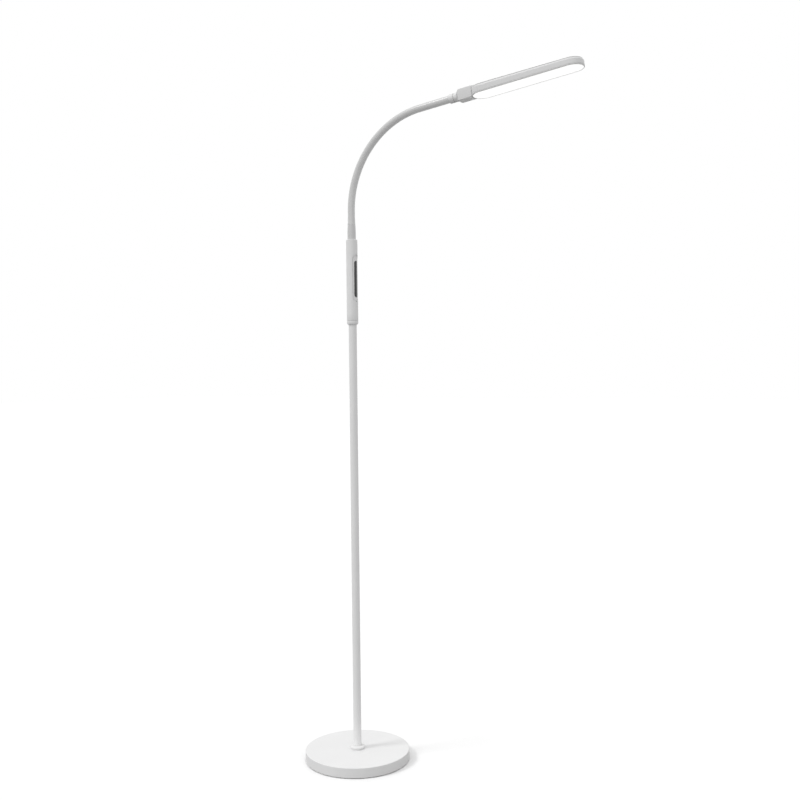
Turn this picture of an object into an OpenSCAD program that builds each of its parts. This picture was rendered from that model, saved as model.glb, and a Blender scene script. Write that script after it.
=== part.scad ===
// Floor lamp with a round weighted base, a slim pole, a touch control module, a gooseneck and a flat LED
// head.
// The origin is the centre of the underside of the base. +Z is up and the head reaches out along +X.

/* [Base] */
// Diameter of the round base
base_d = 250; // [200:1:320]
// Height of the base above the floor
base_h = 25; // [24:0.5:40]
// Wall of the moulded base cover
cover_wall = 2.5; // [2:0.1:3.5]
// Rounding of the top rim of the base cover
rim_round = 1.5; // [0.5:0.1:2]
// Gap between the rim of the base cover and the floor
skirt_gap = 1.5; // [1:0.1:2]
// Thickness of the soft pad under the base
pad_t = 2; // [1.6:0.1:3]
// Distance between the edge of the pad and the edge of the closing plate
pad_inset = 3; // [1:0.5:15]
// Thickness of the steel closing plate
plate_t = 1.5; // [1:0.1:2.5]
// Thickness of the cast iron weight
weight_t = 15; // [14:0.5:16]
// Radial room between the weight and the base cover
weight_gap = 2; // [1:0.1:4]
// Distance of the plate screws from the centre
plate_screw_r = 62; // [45:1:80]

/* [Power inlet] */
// Diameter of the round body of the inlet
socket_d = 11; // [9:0.1:12]
// Length of the body of the inlet
socket_l = 17; // [14:0.5:22]
// Diameter of the lip of the inlet, outside the cover
socket_lip_d = 14; // [13:0.1:15]
// Bore of the inlet
socket_bore_d = 5.7; // [5:0.1:6.5]
// Diameter of the contact pin inside the inlet
socket_pin_d = 2; // [1.3:0.1:2.5]
// Diameter of the low voltage lead
lead_d = 3.6; // [2.5:0.1:4.5]

/* [Foot of the pole] */
// Diameter of the flange that carries the pole
flange_d = 27; // [25:0.5:30]
// Thickness of the flange
flange_t = 4; // [3:0.1:6]
// Circle of the three flange bolts
bolt_circle_d = 21; // [20.5:0.1:21.5]
// Diameter of the flange bolts
bolt_d = 4; // [3:0.1:4.2]
// Outer diameter of the collar around the foot of the pole
collar_d = 34; // [30:0.5:45]
// Height of the collar
collar_h = 6.5; // [6.5:0.5:16]
// Rounding of the top edge of the collar
collar_round = 1.5; // [0.5:0.1:2]

/* [Pole] */
// Outer diameter of the pole
pole_d = 19; // [18:0.1:20]
// Wall of the pole's tubes
pole_wall = 1.2; // [0.8:0.1:1.8]
// Length of each of the three pole sections
section_l = 340; // [200:1:420]
// Length of a joiner inside the pole
joiner_l = 50; // [30:1:90]

/* [Control module] */
// Outer diameter of the control module
module_d = 27; // [25:0.1:30]
// Wall of the control module
module_wall = 2.6; // [2.4:0.1:3]
// Length of the housing of the module, between its foot and its cap
module_l = 190; // [176:1:230]
// Height of the foot of the module
foot_h = 13; // [11:0.5:18]
// Depth to which the pole stands in the foot of the module
foot_socket = 6; // [4:0.5:8]
// Thickness of the cap of the module
cap_t = 2; // [1.5:0.1:4]
// Height of the recess's lower end above the foot of the module
recess_z = 45; // [38:1:50]
// Length of the recess around the touch panel
recess_l = 111; // [104:1:116]
// Width of the recess, straight across
recess_w = 20.5; // [18:0.1:21]
// Depth of the recess
recess_t = 1.3; // [0.8:0.1:1.5]
// Length of the touch panel
panel_l = 87; // [70:1:96]
// Width of the touch panel, straight across
panel_w = 11.5; // [9:0.1:13]
// Thickness of the touch panel
panel_t = 0.9; // [0.8:0.1:1.1]
// Height by which the touch panel stands out of its recess
panel_proud = 0.2; // [0:0.05:0.3]
// Number of touch fields under the panel
touch_fields = 4; // [2:1:5]
// Width of the control board
board_w = 11; // [9:0.1:12]
// Thickness of the control board
board_t = 1.2; // [0.8:0.1:1.6]

/* [Gooseneck] */
// Outer diameter of the gooseneck's sleeve
neck_d = 17; // [16.8:0.1:18]
// Outer diameter of the steel conduit inside the sleeve
conduit_d = 13.4; // [12:0.1:13.8]
// Bore of the steel conduit
conduit_bore_d = 10.4; // [8:0.1:11]
// Diameter of the balls on which the links of the conduit turn
ball_d = 15.8; // [15.4:0.1:16]
// Bend radius of the gooseneck's centre line
neck_bend_r = 214; // [190:1:320]
// Angle through which the gooseneck bends, from the upright
neck_bend = 84; // [60:1:110]
// Straight length between the ferrule and the bend
neck_rise = 34.8; // [30:0.1:80]
// Straight length between the bend and the end ferrule
neck_run = 81.5; // [65:0.1:120]
// Half width of the open joint between two links
link_gap = 2.3; // [2.2:0.1:2.6]
// Diameter of the ferrule at the foot of the gooseneck
ferrule_d = 20.4; // [19.5:0.1:24]
// Height of the ferrule
ferrule_h = 35.2; // [25:0.1:50]
// Height of the taper at the top of the ferrule
ferrule_taper = 9; // [4:0.5:14]

/* [Swivel] */
// Diameter of the two rings of the swivel
ring_d = 21; // [20:0.1:24]
// Length of the end ferrule, the fixed ring
end_ferrule_l = 11; // [10:0.1:16]
// Thickness of the friction washer
washer_t = 1.4; // [1:0.1:2]
// Length of the ring that turns with the head
collar_ring_l = 9; // [6:0.1:14]
// Length of the narrow neck between that ring and the head
collar_neck_l = 1.5; // [1:0.1:8]
// Diameter of the hollow spindle
spindle_d = 10; // [9:0.1:10.2]
// Bore of the hollow spindle
spindle_bore_d = 6.4; // [5:0.1:7]

/* [Head] */
// Length of the flat head
head_l = 259; // [200:1:400]
// Width of the flat head
head_w = 54; // [46:0.5:70]
// Thickness of the flat head
head_t = 20; // [16:0.5:24]
// Rounding of the top edge of the head
head_round = 4; // [3:0.1:6]
// Wall of the head's housing
head_wall = 1.8; // [1.4:0.1:2.4]
// Width of the neck block
block_w = 25; // [24:0.1:30]
// Height of the neck block
block_h = 25; // [24:0.1:28]
// Length of the neck block, up to the round end of the head
block_l = 35; // [33:0.5:50]
// Rounding of the neck block's rear top corner
block_round = 5.5; // [2:0.1:7]
// Length of the slope from the neck block down to the head
slope_l = 24; // [10:0.5:40]
// Height of the frame around the diffuser
frame_h = 2.6; // [2.2:0.1:4]
// Width of the frame around the diffuser, seen from below
frame_w = 1.7; // [1.2:0.1:2.5]
// Thickness of the diffuser
diffuser_t = 1.8; // [1.2:0.1:2]
// Width of the LED board
led_board_w = 40; // [36:0.5:42]
// Rows of LEDs across the board
led_rows = 2; // [1:1:4]
// LEDs in each row
led_count = 20; // [8:1:30]

/* [Clearances] */
// Gap between pieces that are pushed or clipped together
seat_gap = 0.1; // [0.05:0.01:0.15]
// Gap between a ball of the gooseneck and the link around it
ball_gap = 0.3; // [0.25:0.01:0.35]
// Radial clearance of the spindle in the collar that turns on it
running_gap = 0.05; // [0.03:0.01:0.1]

/* [Hidden] */
$fn = 96;
eps = 0.01;

white = [0.86, 0.86, 0.85];
steel = [0.62, 0.63, 0.65];
iron = [0.28, 0.28, 0.29];
black = [0.08, 0.08, 0.09];
nylon = [0.8, 0.8, 0.78];
board_green = [0.12, 0.36, 0.24];
copper = [0.78, 0.55, 0.32];

// Base, from the floor up
plate_z = pad_t;
weight_z = plate_z + plate_t;
weight_top = weight_z + weight_t;
ceiling_z = base_h - cover_wall;
cover_r = base_d / 2;
plate_r = cover_r - cover_wall - 0.4;
weight_r = cover_r - cover_wall - weight_gap;
hub_r = flange_d / 2 + 6;
lead_r = lead_d / 2;
lead_hole_r = 4;
weight_hole_r = 6;
lead_bend_r = 9;
channel_w = 8;
plate_screw_d = 3;
plate_screw_l = 8;
plate_screw_head_d = 6;
plate_screw_head_t = 1.2;
plate_screws_n = 4;
bolt_head_d = 7;
bolt_head_t = 4;
head_room = 0.3;
bolt_head_z = weight_z + 1;
bolt_end_z = base_h + flange_t - 1;

// Power inlet at the back of the base
socket_z = (weight_z + ceiling_z) / 2;
socket_lip_t = 1.2;
socket_depth = 9.5;
socket_nut_t = 2.5;
channel_top = socket_z + lead_r + 1;
notch_l = socket_l + 7;
notch_w = 22;
socket_end_x = -cover_r + socket_l;

// Pole
pole_r = pole_d / 2;
bore_r = pole_r - pole_wall;
plug_r = bore_r - seat_gap / 2;
pole_z = base_h + flange_t;
pole_top = pole_z + 3 * section_l;
spigot_l = 22;
insert_l = 30;
nose_r = 5;
nose_l = 12;
nose_bore_r = 3.4;
nut_across = 6.8;
nut_t = 3;

// Control module
module_z = pole_top - foot_socket;
module_r = module_d / 2;
inner_r = module_r - module_wall;
body_z = module_z + foot_h;
body_top = body_z + module_l;
module_top = body_top + cap_t;
groove_h = 0.7;
groove_t = 0.8;
foot_band_h = 4;
spigot_h = 8;
spigot_wall = 1.5;
cap_bevel = 1.2;
cap_spigot_h = 6;
recess_r = module_r - recess_t;
recess_mid = module_z + foot_h + recess_z + recess_l / 2;
panel_mid = recess_mid - 2;
panel_outer_r = recess_r + panel_proud;
panel_inner_r = panel_outer_r - panel_t;
board_x = inner_r - 2.2;
board_l = recess_l + 20;
post_z = board_l / 2 - 4;
board_screw_d = 2;
board_post_r = 2.4;
connector_z = 8.5;
connector_l = 8;
connector_w = 8;
connector_x = -3;
spring_r = 2.4;
spring_wall = 0.8;
spring_room = 0.4;
controller_size = [1.6, 8, 10];
controller_z = -12;
regulator_size = [1.1, 6, 5];
regulator_z = 10;
coil_size = [3, 6, 6];
coil_z = 26;
capacitor_r = 3.2;
capacitor_h = 5;
capacitor_z = -32;

// Gooseneck: s is the length along its centre line, counted from the start of the bend
neck_r = neck_d / 2;
conduit_r = conduit_d / 2;
ball_r = ball_d / 2;
cup_r = ball_r + ball_gap;
ferrule_top = module_top + ferrule_h;
first_hinge_z = ferrule_top + link_gap;
bend_z = ferrule_top + neck_rise;
bend_l = neck_bend_r * neck_bend * PI / 180;
bent_links = 6;
anchor_z = module_top - 14;
hinge_s = concat([first_hinge_z - bend_z], [for (i = [0:bent_links]) bend_l * i / bent_links]);
ball_bore_r = conduit_bore_d / 2 + 0.2;
sleeve_inset = 5.7;
band_l = 1;
band_t = 0.02;
neck_end_s = bend_l + neck_run;

// Swivel and head: u is the distance from the end of the bend, along the axis of the head
ring_r = ring_d / 2;
ring_bevel = 0.8;
collar_neck_r = ring_r - 1.5;
washer_r = ring_r - 1.7;
spindle_r = spindle_d / 2;
washer_u = neck_run + end_ferrule_l + 0.05;
collar_u = washer_u + washer_t + 0.05;
collar_neck_u = collar_u + collar_ring_l;
block_u = collar_neck_u + collar_neck_l;
spindle_flange_u = neck_run + sleeve_inset + seat_gap;
spindle_flange_t = 2.4;
block_wall = 2;
head_u = block_u + block_l;
head_bottom_w = -block_h / 2;
head_end_r = head_w / 2;
seam_w = head_bottom_w + frame_h;
ceiling_w = head_bottom_w + head_t - head_wall;
cover_plate_t = 1.8;
block_screw_u = block_u + block_l - 5;
block_screw_y = 6.8;
spring_washer_t = 1.3;
swivel_nut_u = block_u + block_wall + spring_washer_t + 0.2;
swivel_nut_t = 4;
spindle_end_u = swivel_nut_u + swivel_nut_t + 2;
upstand_h = 3;
upstand_t = 1.3;
led_board_t = 1.2;
led_board_u = head_u + 17;
led_board_l = head_l - 34;
led_screw_d = 2.5;
chip_l = 3.5;
chip_w = 2.8;
chip_t = 0.8;

// A tube along +Z
module pipe(r_out, r_in, h) {
    difference() {
        cylinder(r = r_out, h = h);
        translate([0, 0, -1]) cylinder(r = r_in, h = h + 2);
    }
}

// A disc with an outer edge rounded at its top
module round_topped(r, h, edge) {
    rotate_extrude() union() {
        square([r - edge, h]);
        square([r, h - edge]);
        translate([r - edge, h - edge]) circle(r = edge);
    }
}

// A ring along +Z with both outer edges bevelled
module bevelled_ring(r, h, bevel) {
    rotate_extrude() polygon([[0, 0], [r - bevel, 0], [r, bevel], [r, h - bevel], [r - bevel, h], [0, h]]);
}

// Copies spread evenly around the Z axis
module around(count, r, start = 0) {
    for (i = [0:count - 1]) rotate([0, 0, start + i * 360 / count]) translate([r, 0, 0]) children();
}

// A flat outline with round ends, from 0 to l along X
module stadium(l, w) {
    translate([w / 2, 0]) circle(d = w);
    translate([l - w / 2, 0]) circle(d = w);
    translate([w / 2, -w / 2]) square([l - w, w]);
}

// The frame of a point of the gooseneck's bend, t degrees into it, with Z along the gooseneck
module at_bend(t) {
    translate([neck_bend_r * (1 - cos(t)), 0, bend_z + neck_bend_r * sin(t)]) rotate([0, t, 0]) children();
}

// The frame of the point s along the gooseneck, with Z along it
module at_neck(s) {
    if (s < 0) translate([0, 0, bend_z + s]) children();
    else if (s <= bend_l) at_bend(s / bend_l * neck_bend) children();
    else at_bend(neck_bend) translate([0, 0, s - bend_l]) children();
}

// A round rod along the gooseneck's centre line from s0 to s1, with a fine band where its straight and bent
// lengths meet
module neck_rod(s0, s1, r) {
    b0 = max(s0, 0) / bend_l * neck_bend;
    b1 = min(s1, bend_l) / bend_l * neck_bend;
    if (s0 < 0) translate([0, 0, bend_z + s0]) cylinder(r = r, h = min(s1, 0) - s0);
    if (b1 > b0)
        translate([neck_bend_r, 0, bend_z]) rotate([90, 0, 0]) rotate([0, 0, 180 - b1])
            rotate_extrude(angle = b1 - b0) translate([neck_bend_r, 0]) circle(r = r);
    if (s1 > bend_l)
        at_neck(max(s0, bend_l)) cylinder(r = r, h = s1 - max(s0, bend_l));
    for (s = [0, bend_l]) if (s0 < s && s < s1)
        at_neck(s) translate([0, 0, -band_l / 2]) cylinder(r = r + band_t, h = band_l);
}

// The frame of the head: X along the head, Z up through it, origin at the end of the bend
module head_frame_at() {
    at_bend(neck_bend) rotate([0, -90, 0]) children();
}

// Turns a shape along +Z into one along the head's axis, starting at u
module along_head(u) {
    head_frame_at() translate([u, 0, 0]) rotate([0, 90, 0]) children();
}

// ---- base ----

module socket_place() {
    translate([-cover_r, 0, socket_z]) rotate([0, 90, 0]) children();
}

module at_plate_screws() {
    around(plate_screws_n, plate_screw_r, 45) children();
}

module base_cover() {
    color(white) difference() {
        union() {
            difference() {
                translate([0, 0, skirt_gap]) round_topped(cover_r, base_h - skirt_gap, rim_round);
                translate([0, 0, -1]) cylinder(r = cover_r - cover_wall, h = ceiling_z + 1);
            }
            translate([0, 0, weight_top]) cylinder(r = hub_r, h = ceiling_z - weight_top + eps);
        }
        cylinder(r = lead_hole_r, h = base_h + 1);
        around(3, bolt_circle_d / 2) cylinder(r = bolt_d / 2 + seat_gap, h = base_h + 1);
        socket_place() translate([0, 0, -2]) cylinder(r = socket_d / 2 + seat_gap, h = cover_wall + 6);
    }
}

module base_weight() {
    color(iron) difference() {
        translate([0, 0, weight_z]) cylinder(r = weight_r, h = weight_t);
        cylinder(r = weight_hole_r, h = base_h);
        translate([-cover_r, -notch_w / 2, 0]) cube([notch_l, notch_w, base_h]);
        translate([-cover_r, -channel_w / 2, 0]) cube([cover_r, channel_w, channel_top]);
        around(3, bolt_circle_d / 2) {
            cylinder(r = bolt_d / 2 + seat_gap, h = base_h);
            cylinder(r = bolt_head_d / 2 + head_room, h = bolt_head_z + bolt_head_t);
        }
        at_plate_screws() cylinder(r = plate_screw_d / 2 + seat_gap / 2, h = weight_z + plate_screw_l);
    }
}

module base_plate() {
    color(steel) difference() {
        translate([0, 0, plate_z]) cylinder(r = plate_r, h = plate_t);
        at_plate_screws() cylinder(r = plate_screw_d / 2 + seat_gap, h = base_h);
    }
}

module base_pad() {
    color(black) difference() {
        cylinder(r = plate_r - pad_inset, h = pad_t);
        at_plate_screws() translate([0, 0, pad_t - plate_screw_head_t - seat_gap])
            cylinder(r = plate_screw_head_d / 2 + head_room, h = pad_t);
    }
}

module plate_screws() {
    color(steel) at_plate_screws() {
        translate([0, 0, plate_z - plate_screw_head_t])
            cylinder(r = plate_screw_head_d / 2, h = plate_screw_head_t);
        translate([0, 0, plate_z - eps]) cylinder(r = plate_screw_d / 2, h = plate_screw_l);
    }
}

module dc_socket() {
    color(black) socket_place() difference() {
        union() {
            translate([0, 0, -socket_lip_t]) cylinder(r = socket_lip_d / 2, h = socket_lip_t);
            translate([0, 0, -eps]) cylinder(r = socket_d / 2, h = socket_l + eps);
        }
        difference() {
            translate([0, 0, -socket_lip_t - 1]) cylinder(r = socket_bore_d / 2, h = socket_depth + 1);
            cylinder(r = socket_pin_d / 2, h = socket_depth);
        }
    }
}

module socket_nut() {
    color(steel) socket_place() translate([0, 0, cover_wall + 0.3])
        pipe(socket_lip_d / 2 + 0.5, socket_d / 2 + seat_gap / 2, socket_nut_t);
}

// ---- foot of the pole ----

module pole_flange() {
    color(steel) difference() {
        union() {
            translate([0, 0, base_h]) cylinder(r = flange_d / 2, h = flange_t);
            translate([0, 0, pole_z - eps]) cylinder(r = plug_r, h = spigot_l);
        }
        cylinder(r = lead_hole_r, h = pole_z + spigot_l + 1);
        around(3, bolt_circle_d / 2) cylinder(r = bolt_d / 2 + seat_gap / 2, h = bolt_end_z + 0.4);
    }
}

module flange_bolts() {
    color(steel) around(3, bolt_circle_d / 2) {
        translate([0, 0, bolt_head_z]) cylinder(r = bolt_head_d / 2, h = bolt_head_t);
        translate([0, 0, bolt_head_z]) cylinder(r = bolt_d / 2, h = bolt_end_z - bolt_head_z);
    }
}

module base_collar() {
    color(white) difference() {
        translate([0, 0, base_h]) round_topped(collar_d / 2, collar_h, collar_round);
        translate([0, 0, base_h - 1]) cylinder(r = flange_d / 2 + seat_gap, h = flange_t + 1 + seat_gap);
        cylinder(r = pole_r + seat_gap, h = base_h + collar_h + 1);
    }
}

// ---- pole ----

module pole_section(index) {
    color(white) translate([0, 0, pole_z + index * section_l]) pipe(pole_r, bore_r, section_l);
}

module pole_lower() { pole_section(0); }
module pole_middle() { pole_section(1); }
module pole_upper() { pole_section(2); }

module joiner(index) {
    color(steel) translate([0, 0, pole_z + index * section_l - joiner_l / 2])
        pipe(plug_r, lead_hole_r, joiner_l);
}

module joiner_lower() { joiner(1); }
module joiner_upper() { joiner(2); }

module top_insert() {
    color(steel) difference() {
        union() {
            translate([0, 0, pole_top - insert_l]) cylinder(r = plug_r, h = insert_l);
            translate([0, 0, pole_top - eps]) cylinder(r = nose_r, h = nose_l);
        }
        cylinder(r = nose_bore_r, h = pole_top + nose_l + 1);
    }
}

module module_nut() {
    color(steel) translate([0, 0, module_z + foot_h]) difference() {
        cylinder(r = nose_r + nut_across / 2, h = nut_t, $fn = 6);
        translate([0, 0, -1]) cylinder(r = nose_r + seat_gap / 2, h = nut_t + 2);
    }
}

// The lead from the power inlet through the weight and up the pole to the control board
module feed_lead() {
    rise_z = socket_z + lead_bend_r;
    color(black) {
        translate([socket_end_x, 0, socket_z]) rotate([0, 90, 0])
            cylinder(r = lead_r, h = -lead_bend_r - socket_end_x);
        translate([-lead_bend_r, 0, rise_z]) rotate([90, 0, 0]) rotate([0, 0, -90])
            rotate_extrude(angle = 90) translate([lead_bend_r, 0]) circle(r = lead_r);
        translate([0, 0, rise_z])
            cylinder(r = lead_r, h = recess_mid - board_l / 2 + connector_z - rise_z);
    }
}

// ---- control module ----

module module_foot() {
    cone_h = foot_h - groove_h - foot_band_h;
    color(white) difference() {
        union() {
            translate([0, 0, module_z]) cylinder(r1 = pole_r + 1, r2 = module_r, h = cone_h);
            translate([0, 0, module_z + cone_h - eps]) cylinder(r = module_r, h = foot_band_h + eps);
            translate([0, 0, module_z + cone_h]) cylinder(r = module_r - groove_t, h = foot_h - cone_h);
            translate([0, 0, module_z + cone_h])
                cylinder(r = inner_r - seat_gap, h = foot_h - cone_h + spigot_h);
        }
        translate([0, 0, module_z - 1]) cylinder(r = pole_r + seat_gap, h = foot_socket + 1);
        translate([0, 0, module_z]) cylinder(r = nose_r + seat_gap, h = foot_h + spigot_h + 1);
        translate([0, 0, module_z + foot_h]) cylinder(r = inner_r - seat_gap - spigot_wall, h = spigot_h + 1);
    }
}

// A wall of the module between two radii, cut to a round-ended window centred on the +X side
module wall_window(r_in, r_out, length, width, mid) {
    intersection() {
        translate([0, 0, mid - length / 2 - 1]) pipe(r_out, r_in, length + 2);
        translate([0, 0, mid + length / 2]) rotate([0, 90, 0])
            linear_extrude(height = module_d) stadium(length, width);
    }
}

// The places of the touch fields, on the +X side of the module
module at_fields() {
    pitch = panel_l / touch_fields;
    for (i = [0:touch_fields - 1])
        translate([0, 0, panel_mid + (i - (touch_fields - 1) / 2) * pitch]) rotate([0, 90, 0]) children();
}

module module_body() {
    color(white) difference() {
        union() {
            translate([0, 0, body_z]) pipe(module_r, inner_r, module_l);
            for (side = [-1, 1]) translate([board_x, 0, recess_mid + side * post_z]) rotate([0, 90, 0])
                cylinder(r = board_post_r, h = inner_r + 0.8 - board_x);
        }
        wall_window(recess_r, module_r + 1, recess_l, recess_w, recess_mid);
        wall_window(panel_inner_r, module_r + 1, panel_l + 2 * seat_gap, panel_w + 2 * seat_gap, panel_mid);
        at_fields() cylinder(r = spring_r + spring_room, h = module_d);
        for (side = [-1, 1]) translate([0, 0, recess_mid + side * post_z]) rotate([0, 90, 0])
            cylinder(r = board_screw_d / 2 + seat_gap / 2, h = inner_r + 0.3);
    }
}

module module_cap() {
    color(white) difference() {
        union() {
            translate([0, 0, body_top]) rotate_extrude()
                polygon([
                    [0, 0],
                    [module_r, 0],
                    [module_r, cap_t - cap_bevel],
                    [module_r - cap_bevel, cap_t],
                    [0, cap_t]
                ]);
            translate([0, 0, body_top - cap_spigot_h])
                cylinder(r = inner_r - seat_gap, h = cap_spigot_h + eps);
        }
        translate([0, 0, body_top - cap_spigot_h - 1])
            cylinder(r = conduit_r + seat_gap, h = cap_spigot_h + cap_t + 2);
    }
}

module control_board() {
    color(board_green) difference() {
        translate([board_x - board_t, -board_w / 2, recess_mid - board_l / 2])
            cube([board_t, board_w, board_l]);
        for (side = [-1, 1]) translate([0, 0, recess_mid + side * post_z]) rotate([0, 90, 0])
            cylinder(r = board_screw_d / 2 + seat_gap, h = module_d);
    }
}

// A box on the back of the control board, z above the board's middle
module on_board_back(size, z) {
    translate([board_x - board_t - size[0], -size[1] / 2, recess_mid + z]) cube(size);
}

module board_parts() {
    back = board_x - board_t;
    color(black) {
        for (z = [connector_z, board_l - connector_z - connector_l])
            translate([connector_x, -connector_w / 2, recess_mid - board_l / 2 + z])
                cube([back - connector_x, connector_w, connector_l]);
        on_board_back(controller_size, controller_z);
        on_board_back(regulator_size, regulator_z);
        on_board_back(coil_size, coil_z);
        translate([back - capacitor_h, 0, recess_mid + capacitor_z]) rotate([0, 90, 0])
            cylinder(r = capacitor_r, h = capacitor_h);
    }
}

module board_screws() {
    color(steel) for (side = [-1, 1]) translate([0, 0, recess_mid + side * post_z]) rotate([0, 90, 0]) {
        translate([0, 0, board_x - board_t - 1.2]) cylinder(r = board_screw_d / 2 + 0.9, h = 1.2);
        translate([0, 0, board_x - board_t - eps])
            cylinder(r = board_screw_d / 2, h = inner_r - board_x + board_t);
    }
}

module touch_springs() {
    color(copper) at_fields() translate([0, 0, board_x])
        pipe(spring_r, spring_r - spring_wall, sqrt(pow(panel_inner_r, 2) - pow(spring_r, 2)) - board_x - eps);
}

module touch_panel() {
    color(black) wall_window(panel_inner_r, panel_outer_r, panel_l, panel_w, panel_mid);
}

// ---- gooseneck ----

module neck_ferrule() {
    color(white) difference() {
        union() {
            translate([0, 0, module_top]) cylinder(r = ferrule_d / 2, h = ferrule_h - ferrule_taper);
            translate([0, 0, ferrule_top - ferrule_taper])
                cylinder(r1 = ferrule_d / 2, r2 = neck_r + 0.2, h = ferrule_taper);
        }
        translate([0, 0, module_top - 1]) cylinder(r = conduit_r + seat_gap, h = ferrule_h + 2);
        translate([0, 0, first_hinge_z]) sphere(r = ball_r + seat_gap);
    }
}

// The fixed end of the steel conduit, from the module up to the first ball
module neck_anchor() {
    color(steel) difference() {
        union() {
            translate([0, 0, anchor_z]) cylinder(r = conduit_r, h = first_hinge_z - anchor_z);
            translate([0, 0, first_hinge_z]) sphere(r = ball_r);
        }
        translate([0, 0, anchor_z - 1])
            cylinder(r = conduit_bore_d / 2, h = first_hinge_z + ball_r - anchor_z + 2);
    }
}

module anchor_nut() {
    color(steel) translate([0, 0, body_top - cap_spigot_h - nut_t]) difference() {
        cylinder(r = inner_r - 0.6, h = nut_t, $fn = 6);
        translate([0, 0, -1]) cylinder(r = conduit_r + seat_gap / 2, h = nut_t + 2);
    }
}

// The lead from the control board through the gooseneck and the swivel to the LED board
module neck_lead() {
    start_z = recess_mid + board_l / 2 - connector_z;
    color(black) neck_rod(start_z - bend_z, bend_l + led_board_u - seat_gap, lead_r);
}

// One length of the outer sleeve, between the joints of link k
module sleeve(k) {
    s0 = hinge_s[k - 1];
    s1 = k < len(hinge_s) ? hinge_s[k] - link_gap : neck_end_s + sleeve_inset;
    color(white) difference() {
        neck_rod(s0 + link_gap, s1, neck_r);
        neck_rod(s0, s1 + 1, conduit_r + seat_gap);
        at_neck(s0) sphere(r = cup_r);
        if (k < len(hinge_s)) at_neck(hinge_s[k]) sphere(r = ball_r + seat_gap);
    }
}

// One link of the steel conduit: a cup around the ball behind it, a tube, and the ball that the next link
// turns on
module conduit(k) {
    s0 = hinge_s[k - 1];
    last = k == len(hinge_s);
    s1 = last ? neck_end_s + sleeve_inset : hinge_s[k];
    color(steel) difference() {
        union() {
            neck_rod(s0 + link_gap, s1, conduit_r);
            if (!last) at_neck(s1) sphere(r = ball_r);
        }
        neck_rod(s0, last ? s1 + 1 : s1, conduit_bore_d / 2);
        if (!last) at_neck(s1) translate([0, 0, -ball_r / 2]) cylinder(r = ball_bore_r, h = 2 * ball_r);
        at_neck(s0) sphere(r = cup_r);
    }
}

module sleeve_1() { sleeve(1); }
module sleeve_2() { sleeve(2); }
module sleeve_3() { sleeve(3); }
module sleeve_4() { sleeve(4); }
module sleeve_5() { sleeve(5); }
module sleeve_6() { sleeve(6); }
module sleeve_7() { sleeve(7); }
module sleeve_8() { sleeve(8); }
module conduit_1() { conduit(1); }
module conduit_2() { conduit(2); }
module conduit_3() { conduit(3); }
module conduit_4() { conduit(4); }
module conduit_5() { conduit(5); }
module conduit_6() { conduit(6); }
module conduit_7() { conduit(7); }
module conduit_8() { conduit(8); }

// ---- swivel ----

module end_ferrule() {
    color(white) along_head(neck_run) difference() {
        bevelled_ring(ring_r, end_ferrule_l, ring_bevel);
        translate([0, 0, -1]) cylinder(r = neck_r + seat_gap, h = sleeve_inset + 1 + seat_gap);
        cylinder(r = conduit_r + seat_gap, h = sleeve_inset + spindle_flange_t + 2 * seat_gap);
        cylinder(r = spindle_r + seat_gap, h = end_ferrule_l + 1);
    }
}

module swivel_spindle() {
    color(steel) along_head(spindle_flange_u) difference() {
        union() {
            cylinder(r = conduit_r, h = spindle_flange_t);
            cylinder(r = spindle_r, h = spindle_end_u - spindle_flange_u);
        }
        translate([0, 0, -1]) cylinder(r = spindle_bore_d / 2, h = spindle_end_u - spindle_flange_u + 2);
    }
}

module swivel_nut() {
    color(steel) {
        along_head(swivel_nut_u) difference() {
            cylinder(r = spindle_r + nut_across / 2, h = swivel_nut_t, $fn = 6);
            translate([0, 0, -1]) cylinder(r = spindle_r + seat_gap / 2, h = swivel_nut_t + 2);
        }
        along_head(block_u + block_wall + 0.1)
            pipe(spindle_r + 2.8, spindle_r + seat_gap / 2, spring_washer_t);
    }
}

module friction_washer() {
    color(nylon) along_head(washer_u) pipe(washer_r, spindle_r + running_gap + seat_gap, washer_t);
}

module swivel_collar() {
    color(white) difference() {
        union() {
            along_head(collar_u) bevelled_ring(ring_r, collar_ring_l, ring_bevel);
            along_head(collar_neck_u - eps) cylinder(r = collar_neck_r, h = collar_neck_l + eps);
        }
        along_head(collar_u - 1) cylinder(r = spindle_r + running_gap, h = collar_ring_l + collar_neck_l + 2);
    }
}

// ---- head ----

// Half of the head's cross section: flat below, with the top edge rounded
module half_section(half_w, low, high, edge) {
    translate([0, low]) square([half_w - edge, high - low]);
    translate([0, low]) square([half_w, high - edge - low]);
    translate([half_w - edge, high - edge]) circle(r = edge);
}

// The flat head's solid with round ends, held inside its outline by inset
module head_solid(inset, low, high, edge) {
    half_w = head_end_r - inset;
    translate([head_u + head_end_r, 0, 0]) rotate([0, 0, 90]) rotate_extrude(angle = 180)
        half_section(half_w, low, high, edge);
    translate([head_u + head_l - head_end_r, 0, 0]) rotate([0, 0, -90]) rotate_extrude(angle = 180)
        half_section(half_w, low, high, edge);
    translate([head_u + head_end_r, 0, 0]) rotate([90, 0, 90])
        linear_extrude(height = head_l - 2 * head_end_r) {
            half_section(half_w, low, high, edge);
            mirror([1, 0]) half_section(half_w, low, high, edge);
        }
}

// A plate with the head's outline, held inside it by inset
module head_plate(inset, low, high) {
    translate([head_u + inset, 0, low]) linear_extrude(height = high - low)
        stadium(head_l - 2 * inset, head_w - 2 * inset);
}

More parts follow.
